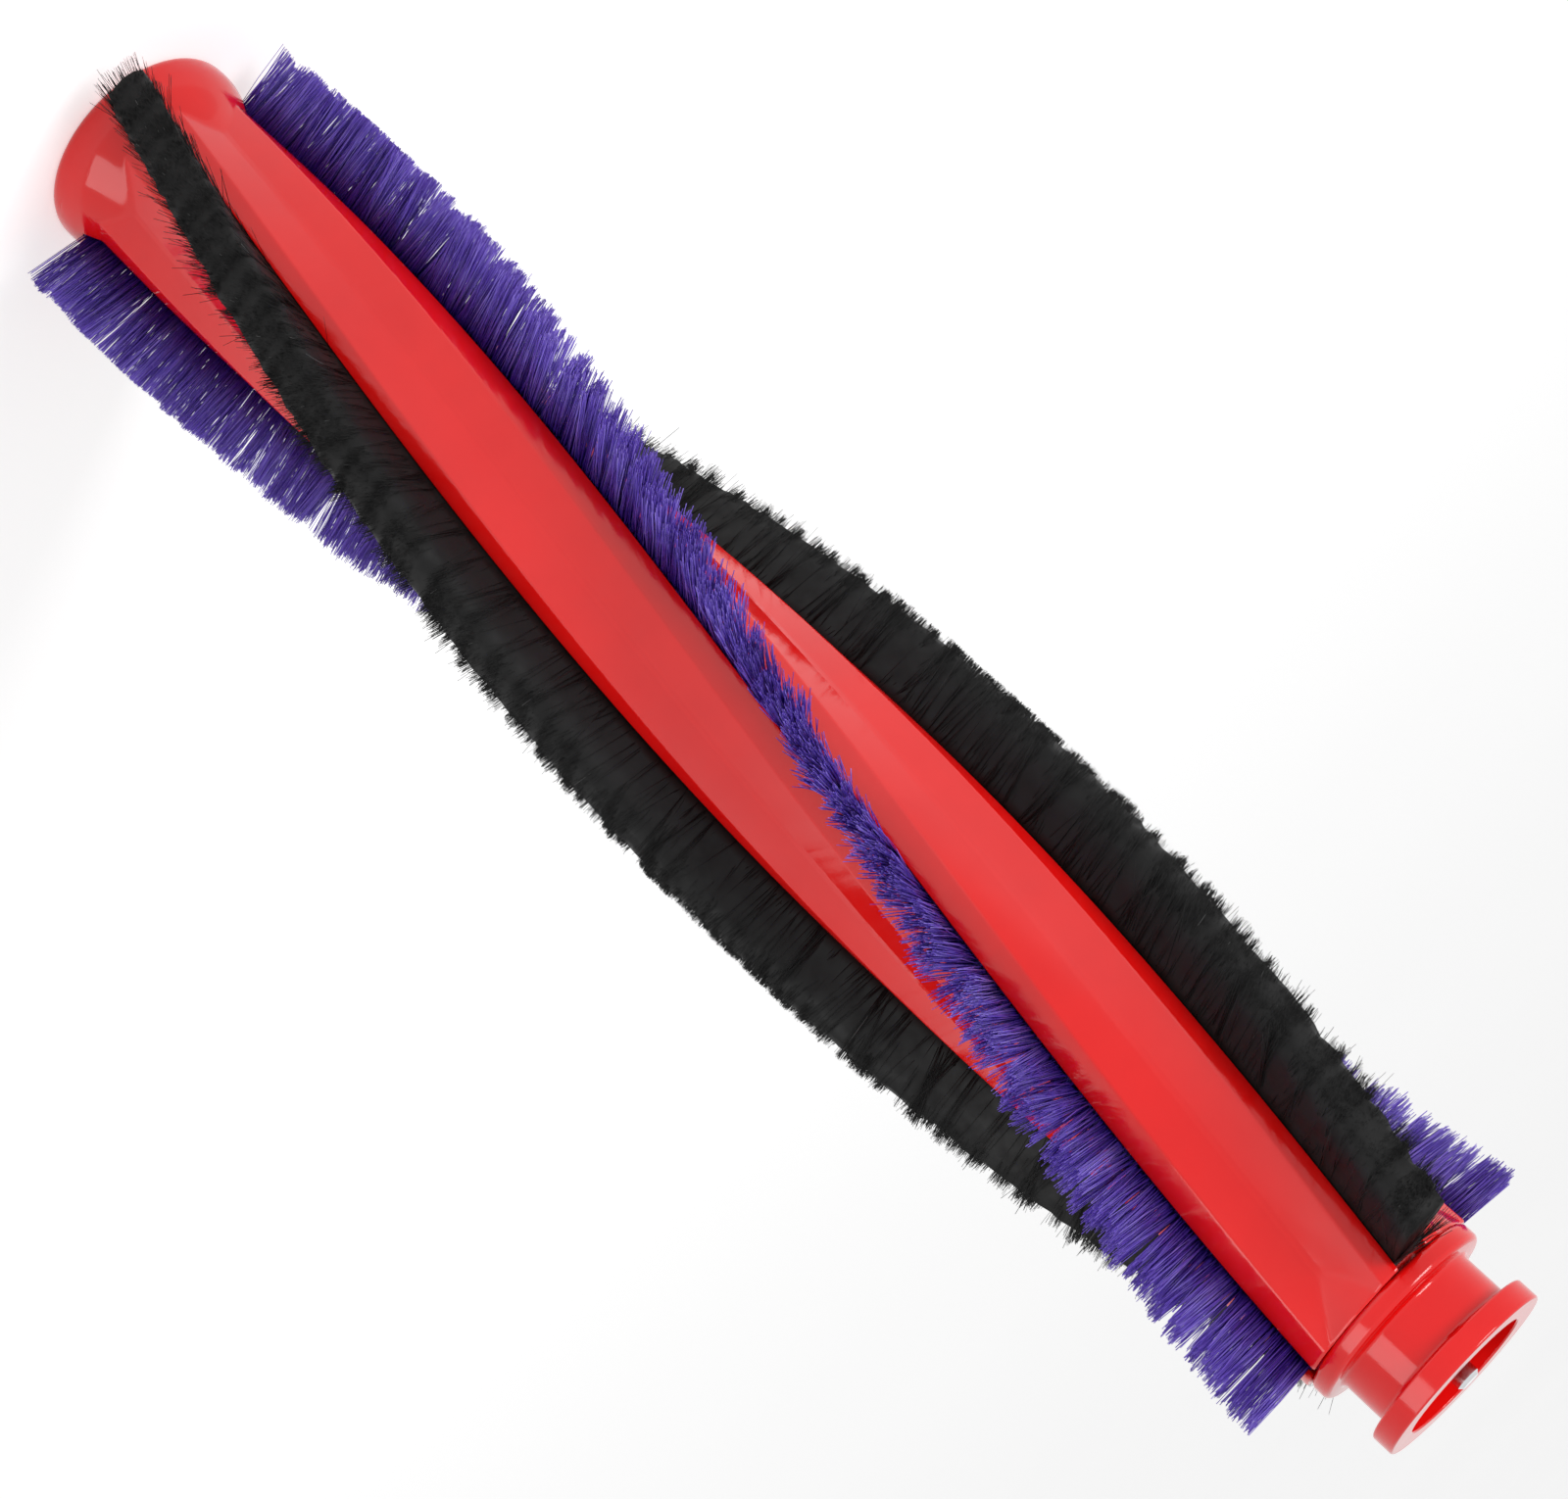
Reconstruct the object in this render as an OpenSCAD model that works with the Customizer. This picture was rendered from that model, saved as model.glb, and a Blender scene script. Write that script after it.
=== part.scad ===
// Roller brush of a stick vacuum's floor head, standing on its bell mouth, with its spool end up.
// The origin is the centre of the bell's rim, and the roller's axis is +Z.

/* [Roller] */
// Length from the bell's rim to the spool's end face
roller_length = 225; // [180:1:320]
// Diameter over the rails
body_d = 24.8; // [23:0.1:27]
// Height in which the strips would wind once round the roller
helix_length = 450; // [360:5:900]
// Direction of the first nylon strip at the bell's rim, in degrees
strip_start = 162.5; // [0:0.5:360]
// Wall between the slots and the bore that the motor's housing goes into
slot_wall = 1.3; // [1:0.05:1.6]
// Step down to the narrower bore beyond the motor, for the drive socket and the plug
tail_step = 0.5; // [0.4:0.05:1]

/* [Bell mouth] */
// Largest diameter of the bell
bell_d = 28.4; // [27.5:0.1:30]
// Height at which the bell is widest
bell_lip_h = 2.4; // [2:0.1:3]
// Height at which the bell's flare ends, sunk under the valleys
bell_h = 15.5; // [13:0.5:18]
// Roundness of the bell's flare: the higher, the sooner it grows narrow
bell_power = 1.45; // [1:0.05:2]
// Rounding of the rim's outer edge
rim_r = 1.6; // [1:0.1:2]
// Widening of the mouth from the bore to the rim, on each side
mouth_step = 2; // [1:0.1:2.2]
// Depth of the mouth's lead into the bore
mouth_h = 5; // [4:0.5:8]

/* [Rails and valleys] */
// Width over the two rails beside a strip
rail_w = 9; // [8.6:0.1:9.6]
// Depth of the valleys under the rails
valley_depth = 1.6; // [1.2:0.05:1.8]
// Width of the rounded bottom of a valley
valley_floor_w = 0.8; // [0.4:0.1:1.2]
// Length of the flare that fills the valleys below the collar
runout_h = 12; // [8:0.5:14]
// How far that flare ends under the rails where it meets the collar
runout_drop = 0.6; // [0.4:0.05:0.9]
// How far the flares' thin ends are sunk under the valleys
flare_sink = 0.3; // [0.2:0.05:0.5]

/* [Strip slots] */
// Height at which the strips start
strip_z0 = 5.5; // [5:0.1:7]
// Depth of the slots under the rails
slot_depth = 2.1; // [2:0.05:2.3]
// Thickness of a strip's backing
backing_t = 1.1; // [0.9:0.05:1.2]
// Width of a nylon strip's backing
nylon_base_w = 4.6; // [4:0.1:5]
// Width of a carbon strip's backing
carbon_base_w = 6.2; // [5.8:0.1:6.4]
// Clearance between a backing and its slot, on each side
slot_gap = 0.1; // [0.08:0.01:0.12]
// Distance of the strips' ends from the collar
strip_end_gap = 0.7; // [0.4:0.1:1]

/* [Bristles] */
// Height of the bristle tips above the rails
bristle_h = 10; // [8:0.1:12]
// Width of the nylon at its root
nylon_root_w = 2; // [1.6:0.1:2.6]
// Width of the nylon at its tips
nylon_tip_w = 4.4; // [3:0.1:6]
// Spacing of the nylon tufts along the roller
tuft_pitch = 5.2; // [4:0.1:8]
// Depth of the notch between two tufts
tuft_notch = 2; // [0.5:0.1:4]
// Width of the carbon pile at its root
carbon_root_w = 4.2; // [3.6:0.1:4.8]
// Width of the carbon pile near its tips
carbon_tip_w = 6.8; // [5:0.1:8]
// Unevenness of the carbon pile's tips
carbon_ragged = 0.35; // [0:0.05:0.6]
// How far the fibres at a strip's end spread past it
end_fan = 0.8; // [0:0.1:1]
// Height above the rails up to which the fibres stay as narrow as their root
root_straight = 1.1; // [0.8:0.1:2]
// Gap between a backing and the solid that stands for its fibres
root_gap = 0.12; // [0.1:0.01:0.2]

/* [Spool end] */
// Height of the collar that closes the slots
collar_h = 2.5; // [2:0.1:4]
// Step down from the rails to the collar
collar_step = 0.4; // [0.2:0.05:0.6]
// Rounding of the collar's outer edge
collar_round = 0.7; // [0.4:0.1:0.9]
// Length of the neck
neck_h = 6; // [5:0.1:9]
// Diameter of the neck
neck_d = 19; // [18.4:0.1:20]
// Fillet where the neck meets the collar and the flange
neck_fillet = 0.6; // [0.3:0.1:1]
// Thickness of the flange
flange_h = 2.8; // [2.2:0.1:3.6]
// Diameter of the flange
flange_d = 23.1; // [22:0.1:25]
// Edge break of the flange
flange_edge = 0.3; // [0.1:0.05:0.5]
// Diameter of the recess in the flange
recess_d = 16.4; // [14:0.1:17]
// Depth of the recess
recess_h = 4.8; // [4.2:0.1:5.4]
// Length of the plug in the tube
plug_h = 10; // [8:0.5:16]
// Wall of the plug
plug_wall = 2; // [1.6:0.1:2.4]
// Thickness of the web under the bearing
web_h = 1.6; // [1.2:0.1:2]

/* [Axle pin] */
// Diameter of the pin
pin_d = 3; // [2.5:0.1:3.2]
// How far the pin stands out past the end face
pin_out = 0.8; // [0:0.1:3]
// Chamfer of the pin's tip
pin_chamfer = 0.4; // [0.2:0.05:0.6]
// Diameter of the pin's head, inside
pin_head_d = 4.2; // [4:0.1:4.4]
// Height of the pin's head
pin_head_h = 1.2; // [0.8:0.1:2]
// Depth of the groove for the clip
clip_groove = 0.3; // [0.2:0.05:0.4]
// Thickness of the clip
clip_t = 0.5; // [0.4:0.05:0.6]
// Outer diameter of the clip
clip_d = 5.2; // [4.8:0.1:6]
// Opening of the clip
clip_open = 1.6; // [1:0.1:2]
// Thickness of the shim under the clip
shim_t = 0.3; // [0.2:0.05:0.5]

/* [Bearing] */
// Outer diameter of the bearing
bearing_d = 8; // [7.6:0.1:9]
// Width of the bearing
bearing_h = 4; // [3.6:0.1:4.4]
// Wall of the inner ring
inner_wall = 0.65; // [0.5:0.05:0.7]
// Wall of the outer ring
outer_wall = 0.75; // [0.6:0.05:0.9]
// Diameter of a ball
ball_d = 1.6; // [1.4:0.05:1.7]
// Number of balls
ball_count = 7; // [5:1:7]
// Play between the balls and the grooves they run in
ball_play = 0.04; // [0.02:0.01:0.06]
// Thickness of a shield
shield_t = 0.25; // [0.2:0.05:0.3]
// Distance of a shield from the bearing's face
shield_inset = 0.2; // [0.1:0.05:0.3]
// Gap between a shield and the inner ring
shield_gap = 0.2; // [0.1:0.05:0.3]

/* [Drive socket] */
// Height of the socket's mouth above the bell's rim
socket_z = 148; // [100:1:180]
// Length of the socket
socket_h = 14; // [10:1:20]
// Wall of the socket between the splines
socket_wall = 2; // [1.5:0.1:3]
// Number of splines
spline_count = 6; // [4:1:8]
// Width of a spline
spline_w = 2.4; // [1.6:0.1:3]
// Height of a spline
spline_h = 1.6; // [1:0.1:2]
// Lead-in at the socket's mouth
socket_lead = 1.2; // [0.5:0.1:2]

/* [Hidden] */
$fn = 96;

red = "#d80c0c";
violet = "#8a6cf0";
black = "#141414";
steel = "#c4c8cc";

// Turn of the strips in degrees for each millimetre of height
turn = 360 / helix_length;
strip_count = 4;
strip_step = 360 / strip_count;
// Height of one slice of a wound solid
slice_h = 5.2;
// How far a cutter runs past the face it opens
over = 1;

// Heights of the spool end, from the top down
flange_z = roller_length - flange_h;
neck_z = flange_z - neck_h;
collar_z = neck_z - collar_h;
recess_z = roller_length - recess_h;
bearing_z = recess_z - bearing_h;
web_z = bearing_z - web_h;
strip_z1 = collar_z - strip_end_gap;
runout_z = collar_z - runout_h;

body_r = body_d / 2;
valley_r = body_r - valley_depth;
flare_r = valley_r - flare_sink;
tip_r = body_r + bristle_h;
collar_r = body_r - collar_step;
slot_floor_r = body_r - slot_depth;
bore_r = slot_floor_r - slot_wall;
tail_bore_r = bore_r - tail_step;
mouth_r = bore_r + mouth_step;
socket_r = tail_bore_r - socket_wall;
slot_top_r = slot_floor_r + backing_t + 2 * slot_gap;
backing_z0 = strip_z0 + slot_gap;
root_r = slot_floor_r + slot_gap + backing_t + root_gap;
straight_r = body_r + root_straight;
// Edge of the rails, where the flat sides of a valley start
rail_angle = asin(rail_w / 2 / body_r);

pin_r = pin_d / 2;
inner_r = pin_r + inner_wall;
outer_bore_r = bearing_d / 2 - outer_wall;
pitch_r = (inner_r + outer_bore_r) / 2;
ball_r = ball_d / 2;
bearing_mid_z = bearing_z + bearing_h / 2;
shim_z = recess_z;
clip_z = shim_z + shim_t;
pin_end_z = roller_length + pin_out;
pin_head_gap = 0.3;
web_bore_r = pin_head_d / 2 + pin_head_gap;

// A solid wound round the axis from z0 to z1, with the section drawn for the strip at direction 0
module wound(z0, z1) {
    height = z1 - z0;
    translate([0, 0, z0])
        rotate(turn * z0)
            linear_extrude(height = height, twist = -turn * height, slices = ceil(height / slice_h), segments = 4)
                children();
}

// The children at the strip number i: 0 and 2 are nylon, 1 and 3 are carbon
module at_strip(i) {
    rotate(strip_start + strip_step * i)
        children();
}

// Section of one valley: flat sides that run out past both rails and meet in a narrow floor
module valley_section() {
    half = strip_step / 2;
    edge = body_r * [cos(rail_angle), sin(rail_angle)];
    far_edge = body_r * [cos(strip_step - rail_angle), sin(strip_step - rail_angle)];
    floor_middle = valley_r * [cos(half), sin(half)];
    floor_side = valley_floor_w / 2 * [sin(half), -cos(half)];
    near_floor = floor_middle + floor_side;
    far_floor = floor_middle - floor_side;
    run_out = 0.4;
    polygon([
        edge + run_out * (edge - near_floor),
        1.5 * body_r * [cos(half), sin(half)],
        far_edge + run_out * (far_edge - far_floor),
        far_floor,
        near_floor
    ]);
}

// Section of an undercut slot: a wide floor for the backing and a narrow mouth for the bristles
module slot_section(base_w, mouth_w) {
    base = base_w / 2 + slot_gap;
    mouth = mouth_w / 2 + slot_gap;
    reach = bell_d / 2 + over;
    polygon([
        [slot_floor_r, -base],
        [slot_top_r, -base],
        [slot_top_r, -mouth],
        [reach, -mouth],
        [reach, mouth],
        [slot_top_r, mouth],
        [slot_top_r, base],
        [slot_floor_r, base]
    ]);
}

// A quarter round or a flare as points of a curve from p to q, bulging by the power k
function curve(p, q, k, n = 10) = [
    for (i = [0 : n])
        let (t = i / n)
            [p[0] + (q[0] - p[0]) * pow(t, k), p[1] + (q[1] - p[1]) * t]
];

// The tube's outside at the bell: a round rim, a widest ring and a flare that dies away up the valleys
module bell_flare() {
    rotate_extrude()
        polygon(concat(
            [[0, 0], [bell_d / 2 - rim_r, 0]],
            [for (a = [-75 : 15 : 0]) [bell_d / 2 - rim_r + rim_r * cos(a), rim_r + rim_r * sin(a)]],
            [[bell_d / 2, bell_lip_h]],
            [for (i = [1 : 12])
                let (t = i / 12, blend = pow((1 + cos(180 * t)) / 2, bell_power))
                    [flare_r + (bell_d / 2 - flare_r) * blend, bell_lip_h + (bell_h - bell_lip_h) * t]],
            [[0, bell_h]]
        ));
}

// The flare that fills the valleys below the collar
module collar_flare() {
    rotate_extrude()
        polygon(concat(
            [[0, runout_z]],
            curve([flare_r, runout_z], [body_r - runout_drop, collar_z], 2.2),
            [[0, collar_z]]
        ));
}

module roller_core() {
    color(red)
        difference() {
            union() {
                difference() {
                    translate([0, 0, bell_lip_h])
                        cylinder(h = collar_z - bell_lip_h, d = body_d);
                    for (i = [0 : strip_count - 1])
                        at_strip(i)
                            wound(bell_lip_h - over, collar_z + over)
                                valley_section();
                }
                bell_flare();
                collar_flare();
            }
            for (i = [0 : strip_count - 1])
                at_strip(i)
                    wound(strip_z0, collar_z + over)
                        slot_section(
                            i % 2 == 0 ? nylon_base_w : carbon_base_w,
                            i % 2 == 0 ? nylon_root_w : carbon_root_w
                        );
            cylinder(h = collar_z + over, r = tail_bore_r);
            translate([0, 0, -over])
                cylinder(h = over + socket_z, r = bore_r);
            translate([0, 0, -over])
                cylinder(h = over + mouth_h, r1 = mouth_r + over * mouth_step / mouth_h, r2 = bore_r);
        }
}

// Splined insert, pressed into the tube against the motor's output
module drive_socket() {
    color(black)
        translate([0, 0, socket_z])
            difference() {
                cylinder(h = socket_h, r = tail_bore_r);
                difference() {
                    translate([0, 0, -over])
                        cylinder(h = socket_h + 2 * over, r = socket_r);
                    for (i = [0 : spline_count - 1])
                        rotate(360 / spline_count * i)
                            translate([socket_r - spline_h, -spline_w / 2, 0])
                                cube([spline_h + over, spline_w, socket_h]);
                }
                translate([0, 0, -over])
                    cylinder(h = over + socket_lead, r1 = socket_r + over, r2 = socket_r - socket_lead);
            }
}

// Spool that closes the tube: plug, collar, neck and flange, with the bearing's pocket in its recess
module end_cap() {
    plug_z = collar_z - plug_h;
    hollow_r = tail_bore_r - plug_wall;
    color(red)
        rotate_extrude()
            difference() {
                union() {
                    translate([0, plug_z])
                        square([tail_bore_r, plug_h + over]);
                    translate([0, collar_z])
                        square([collar_r - collar_round, collar_h]);
                    translate([0, collar_z + collar_round])
                        square([collar_r, collar_h - 2 * collar_round]);
                    for (z = [collar_z + collar_round, neck_z - collar_round])
                        translate([collar_r - collar_round, z])
                            circle(r = collar_round);
                    translate([0, neck_z - over])
                        square([neck_d / 2, neck_h + 2 * over]);
                    for (side = [0, 1])
                        translate([neck_d / 2, side == 0 ? neck_z : flange_z])
                            mirror([0, side])
                                difference() {
                                    translate([-over, -over])
                                        square([over + neck_fillet, over + neck_fillet]);
                                    translate([neck_fillet, neck_fillet])
                                        circle(r = neck_fillet);
                                }
                    polygon([
                        [0, flange_z],
                        [flange_d / 2 - flange_edge, flange_z],
                        [flange_d / 2, flange_z + flange_edge],
                        [flange_d / 2, roller_length - flange_edge],
                        [flange_d / 2 - flange_edge, roller_length],
                        [0, roller_length]
                    ]);
                }
                translate([-over, plug_z - over])
                    square([over + hollow_r, web_z - plug_z + over]);
                translate([-over, web_z - over])
                    square([over + web_bore_r, web_h + 2 * over]);
                translate([-over, bearing_z])
                    square([over + bearing_d / 2, bearing_h + over]);
                translate([-over, recess_z])
                    square([over + recess_d / 2, recess_h + over]);
            }
}

module backing(i, base_w) {
    at_strip(i)
        wound(backing_z0, strip_z1)
            translate([slot_floor_r + slot_gap, -base_w / 2])
                square([backing_t, base_w]);
}

module nylon_backing(i) {
    color(violet)
        backing(i, nylon_base_w);
}

module carbon_backing(i) {
    color(black)
        backing(i, carbon_base_w);
}

// A closed skin over stations: each station is a list of [radius, side offset, height]
module brush_skin(stations) {
    n = len(stations);
    m = len(stations[0]);
    points = [
        for (s = stations)
            for (p = s)
                let (a = turn * p[2])
                    [p[0] * cos(a) - p[1] * sin(a), p[0] * sin(a) + p[1] * cos(a), p[2]]
    ];
    sides = [
        for (k = [0 : n - 2])
            for (j = [0 : m - 1])
                let (a = k * m + j, b = k * m + (j + 1) % m)
                    each [[a, a + m, b], [b, a + m, b + m]]
    ];
    caps = [
        [for (j = [0 : m - 1]) j],
        [for (j = [m - 1 : -1 : 0]) (n - 1) * m + j]
    ];
    polyhedron(points = points, faces = concat(sides, caps), convexity = 6);
}

// Height of a fibre at the share u of the strip's length and the share v of its own length
function fibre_z(u, v) = backing_z0 + (strip_z1 - backing_z0) * u + end_fan * (2 * u - 1) * v;

// Outline of the bristles at the share u: from one root over the tips to the other root
function fan(u, root_w, tip_w, reach) =
    let (length = reach - root_r, mid = root_r + 0.45 * length, mid_w = root_w + 0.6 * (tip_w - root_w))
        [
            [root_r, -root_w / 2, fibre_z(u, 0)],
            [root_r, root_w / 2, fibre_z(u, 0)],
            [straight_r, root_w / 2, fibre_z(u, 0)],
            [mid, mid_w / 2, fibre_z(u, 0.45)],
            [reach - 0.12 * length, tip_w / 2, fibre_z(u, 0.88)],
            [reach, 0, fibre_z(u, 1)],
            [reach - 0.12 * length, -tip_w / 2, fibre_z(u, 0.88)],
            [mid, -mid_w / 2, fibre_z(u, 0.45)],
            [straight_r, -root_w / 2, fibre_z(u, 0)]
        ];

// Violet nylon in tufts, with a notch between each two
module nylon_bristles(i) {
    steps = 2 * round((strip_z1 - backing_z0) / tuft_pitch);
    color(violet)
        at_strip(i)
            brush_skin([
                for (k = [0 : steps])
                    fan(k / steps, nylon_root_w, nylon_tip_w, tip_r - (k % 2 == 0 ? tuft_notch : 0))
            ]);
}

// Black carbon pile, even but for its ragged tips
module carbon_bristles(i) {
    steps = round((strip_z1 - backing_z0) / slice_h);
    color(black)
        at_strip(i)
            brush_skin([
                for (k = [0 : steps])
                    fan(k / steps, carbon_root_w, carbon_tip_w, tip_r - carbon_ragged * (1 + sin(k * 137)) / 2)
            ]);
}

// A ring of the given wall between two radii, with the ball groove turned out of it
module grooved_ring(r0, r1) {
    rotate_extrude()
        difference() {
            translate([r0, bearing_z])
                square([r1 - r0, bearing_h]);
            translate([pitch_r, bearing_mid_z])
                circle(r = ball_r + ball_play);
        }
}

module bearing_outer_ring() {
    color(steel)
        grooved_ring(outer_bore_r, bearing_d / 2);
}

module bearing_inner_ring() {
    color(steel)
        grooved_ring(pin_r, inner_r);
}

module bearing_balls() {
    color(steel)
        for (i = [0 : ball_count - 1])
            rotate(360 / ball_count * i)
                translate([pitch_r, 0, bearing_mid_z])
                    sphere(d = ball_d);
}

// Crown cage: a ring beside the balls with a pocket for each
module bearing_cage() {
    cage_w = 0.5;
    cage_h = 1.3;
    pocket_gap = 0.05;
    color("#b08a4a")
        difference() {
            translate([0, 0, bearing_mid_z - cage_h])
                difference() {
                    cylinder(h = cage_h, r = pitch_r + cage_w / 2);
                    translate([0, 0, -over])
                        cylinder(h = cage_h + 2 * over, r = pitch_r - cage_w / 2);
                }
            for (i = [0 : ball_count - 1])
                rotate(360 / ball_count * i)
                    translate([0, 0, bearing_mid_z])
                        rotate([0, 90, 0])
                            cylinder(h = pitch_r + cage_w, d = ball_d + 2 * pocket_gap);
        }
}

// A thin shield, seated in the outer ring and clear of the inner one
module shield(z) {
    color(steel)
        translate([0, 0, z])
            difference() {
                cylinder(h = shield_t, r = outer_bore_r);
                translate([0, 0, -over])
                    cylinder(h = shield_t + 2 * over, r = inner_r + shield_gap);
            }
}

module bearing_shield_inner() {
    shield(bearing_z + shield_inset);
}

module bearing_shield_outer() {
    shield(bearing_z + bearing_h - shield_inset - shield_t);
}

// Steel pin with a head below the bearing, a groove for the clip and a chamfered tip
module axle_pin() {
    head_z = bearing_z - pin_head_h;
    groove_r = pin_r - clip_groove;
    color(steel)
        rotate_extrude()
            polygon([
                [0, head_z],
                [pin_head_d / 2, head_z],
                [pin_head_d / 2, bearing_z],
                [pin_r, bearing_z],
                [pin_r, clip_z],
                [groove_r, clip_z],
                [groove_r, clip_z + clip_t],
                [pin_r, clip_z + clip_t],
                [pin_r, pin_end_z - pin_chamfer],
                [pin_r - pin_chamfer, pin_end_z],
                [0, pin_end_z]
            ]);
}

module pin_shim() {
    color(steel)
        translate([0, 0, shim_z])
            difference() {
                cylinder(h = shim_t, r = inner_r);
                translate([0, 0, -over])
                    cylinder(h = shim_t + 2 * over, r = pin_r);
            }
}

// Split ring in the pin's groove
module pin_clip() {
    color(steel)
        translate([0, 0, clip_z])
            difference() {
                cylinder(h = clip_t, d = clip_d);
                translate([0, 0, -over])
                    cylinder(h = clip_t + 2 * over, r = pin_r - clip_groove);
                translate([0, -clip_open / 2, -over])
                    cube([clip_d, clip_open, clip_t + 2 * over]);
            }
}

roller_core();
drive_socket();
end_cap();
nylon_backing(0);  // nylon_backing_1
nylon_backing(2);  // nylon_backing_2
carbon_backing(1);  // carbon_backing_1
carbon_backing(3);  // carbon_backing_2
nylon_bristles(0);  // nylon_bristles_1
nylon_bristles(2);  // nylon_bristles_2
carbon_bristles(1);  // carbon_bristles_1
carbon_bristles(3);  // carbon_bristles_2
bearing_outer_ring();
bearing_inner_ring();
bearing_balls();
bearing_cage();
bearing_shield_inner();
bearing_shield_outer();
axle_pin();
pin_shim();
pin_clip();
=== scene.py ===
import math

import bmesh
import bpy
import numpy as np
from mathutils import Matrix, Vector


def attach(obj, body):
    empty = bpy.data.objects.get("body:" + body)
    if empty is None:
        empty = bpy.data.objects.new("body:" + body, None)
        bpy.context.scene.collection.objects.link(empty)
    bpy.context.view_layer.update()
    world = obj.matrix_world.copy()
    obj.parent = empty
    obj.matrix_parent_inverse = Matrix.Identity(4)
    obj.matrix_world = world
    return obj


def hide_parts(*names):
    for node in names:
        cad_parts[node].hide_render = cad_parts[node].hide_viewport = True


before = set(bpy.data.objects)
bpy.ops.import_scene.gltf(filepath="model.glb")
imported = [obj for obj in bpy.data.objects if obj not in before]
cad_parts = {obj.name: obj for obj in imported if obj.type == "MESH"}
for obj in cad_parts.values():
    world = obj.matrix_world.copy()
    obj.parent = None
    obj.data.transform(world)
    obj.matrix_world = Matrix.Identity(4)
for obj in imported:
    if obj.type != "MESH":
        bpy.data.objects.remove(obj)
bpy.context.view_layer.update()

MM = 0.001

# sizes, as in the part's source, in millimetres
LENGTH = 225.0
BODY_R = 12.4
LEAD = 450.0
TURN = 360.0 / LEAD
START = 162.5
VALLEY_R = 10.8
VALLEY_FLOOR_W = 0.8
RAIL_W = 9.0
BELL_R = 14.2
BELL_LIP_H = 2.4
BELL_H = 15.5
BELL_POWER = 1.45
FLARE_SINK = 0.3
RIM_R = 1.6
MOUTH_R = 11.0
MOUTH_H = 5.0
BORE_R = 9.0
TAIL_BORE_R = 8.5
SOCKET_Z = 148.0
COLLAR_Z = 213.7
RUNOUT_H = 12.0
RUNOUT_R = 11.8
SLOT_FLOOR_R = 10.3
SLOT_TOP_R = 11.6
STRIP_Z0 = 5.5
STRIP_Z1 = 213.0
ROOT_R = 11.62
TIP_R = 22.4
SLOT_GAP = 0.1
MOUTHS = {0: (2.0, 4.6), 1: (4.2, 6.2)}


def link(obj):
    bpy.context.scene.collection.objects.link(obj)
    return obj


def mesh_object(name, verts, faces, material, smooth=True):
    """A mesh from vertices in millimetres."""
    me = bpy.data.meshes.new(name)
    me.from_pydata([tuple(v) for v in np.asarray(verts) * MM], [], faces)
    me.materials.append(material)
    me.polygons.foreach_set("use_smooth", [smooth] * len(me.polygons))
    me.update()
    return link(bpy.data.objects.new(name, me))


def sharpen(obj, degrees):
    """Edges that turn by more than this stay sharp, and the rest shade smoothly by face area."""
    bm = bmesh.new()
    bm.from_mesh(obj.data)
    bmesh.ops.recalc_face_normals(bm, faces=bm.faces)
    limit = math.radians(degrees)
    for e in bm.edges:
        e.smooth = len(e.link_faces) == 2 and e.calc_face_angle(0.0) < limit
    bm.to_mesh(obj.data)
    bm.free()
    mod = obj.modifiers.new("weighted", "WEIGHTED_NORMAL")
    mod.keep_sharp = True
    mod.weight = 60


# materials
def new_material(name):
    m = bpy.data.materials.new(name)
    m.use_nodes = True
    nt = m.node_tree
    return m, nt, nt.nodes["Principled BSDF"]


def node(nt, kind, **values):
    n = nt.nodes.new(kind)
    for k, v in values.items():
        if k in n.inputs:
            n.inputs[k].default_value = v
        else:
            setattr(n, k, v)
    return n


def object_coords(nt):
    return node(nt, "ShaderNodeTexCoord").outputs["Object"]


def noise(nt, coords, scale, detail=3.0, rough=0.5):
    n = node(nt, "ShaderNodeTexNoise", Scale=scale, Detail=detail, Roughness=rough)
    nt.links.new(coords, n.inputs["Vector"])
    return n.outputs["Fac"]


def ramp(nt, value, stops):
    n = node(nt, "ShaderNodeValToRGB")
    els = n.color_ramp.elements
    while len(els) < len(stops):
        els.new(0.5)
    for e, (pos, col) in zip(els, stops):
        e.position = pos
        e.color = (*col, 1.0) if len(col) == 3 else col
    nt.links.new(value, n.inputs["Fac"])
    return n.outputs["Color"]


def map_range(nt, value, a, b, c, d):
    n = node(nt, "ShaderNodeMapRange")
    for k, v in zip(("From Min", "From Max", "To Min", "To Max"), (a, b, c, d)):
        n.inputs[k].default_value = v
    nt.links.new(value, n.inputs["Value"])
    return n.outputs["Result"]


def bump(nt, height, strength, distance, normal=None):
    n = node(nt, "ShaderNodeBump", Strength=strength, Distance=distance)
    nt.links.new(height, n.inputs["Height"])
    if normal is not None:
        nt.links.new(normal, n.inputs["Normal"])
    return n.outputs["Normal"]


def red_plastic():
    """Glossy moulded plastic with a slight orange peel and a few fine wrinkles from the mould."""
    m, nt, p = new_material("red_gloss")
    co = object_coords(nt)
    p.inputs["IOR"].default_value = 1.48
    p.inputs["Specular IOR Level"].default_value = 0.5
    reds = [(0.35, (0.70, 0.0035, 0.0035)), (0.65, (0.76, 0.006, 0.005))]
    nt.links.new(ramp(nt, noise(nt, co, 60.0, 4.0), reds), p.inputs["Base Color"])
    nt.links.new(map_range(nt, noise(nt, co, 220.0, 3.0), 0.35, 0.65, 0.07, 0.13), p.inputs["Roughness"])
    peel = noise(nt, co, 700.0, 2.0)
    wrinkle = node(nt, "ShaderNodeTexVoronoi", Scale=900.0, feature="DISTANCE_TO_EDGE")
    nt.links.new(co, wrinkle.inputs["Vector"])
    edge = map_range(nt, wrinkle.outputs["Distance"], 0.0, 0.12, 0.0, 1.0)
    n1 = bump(nt, peel, 0.10, 0.00004)
    n2 = bump(nt, edge, 0.10, 0.00001, n1)
    nt.links.new(n2, p.inputs["Normal"])
    return m


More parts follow.
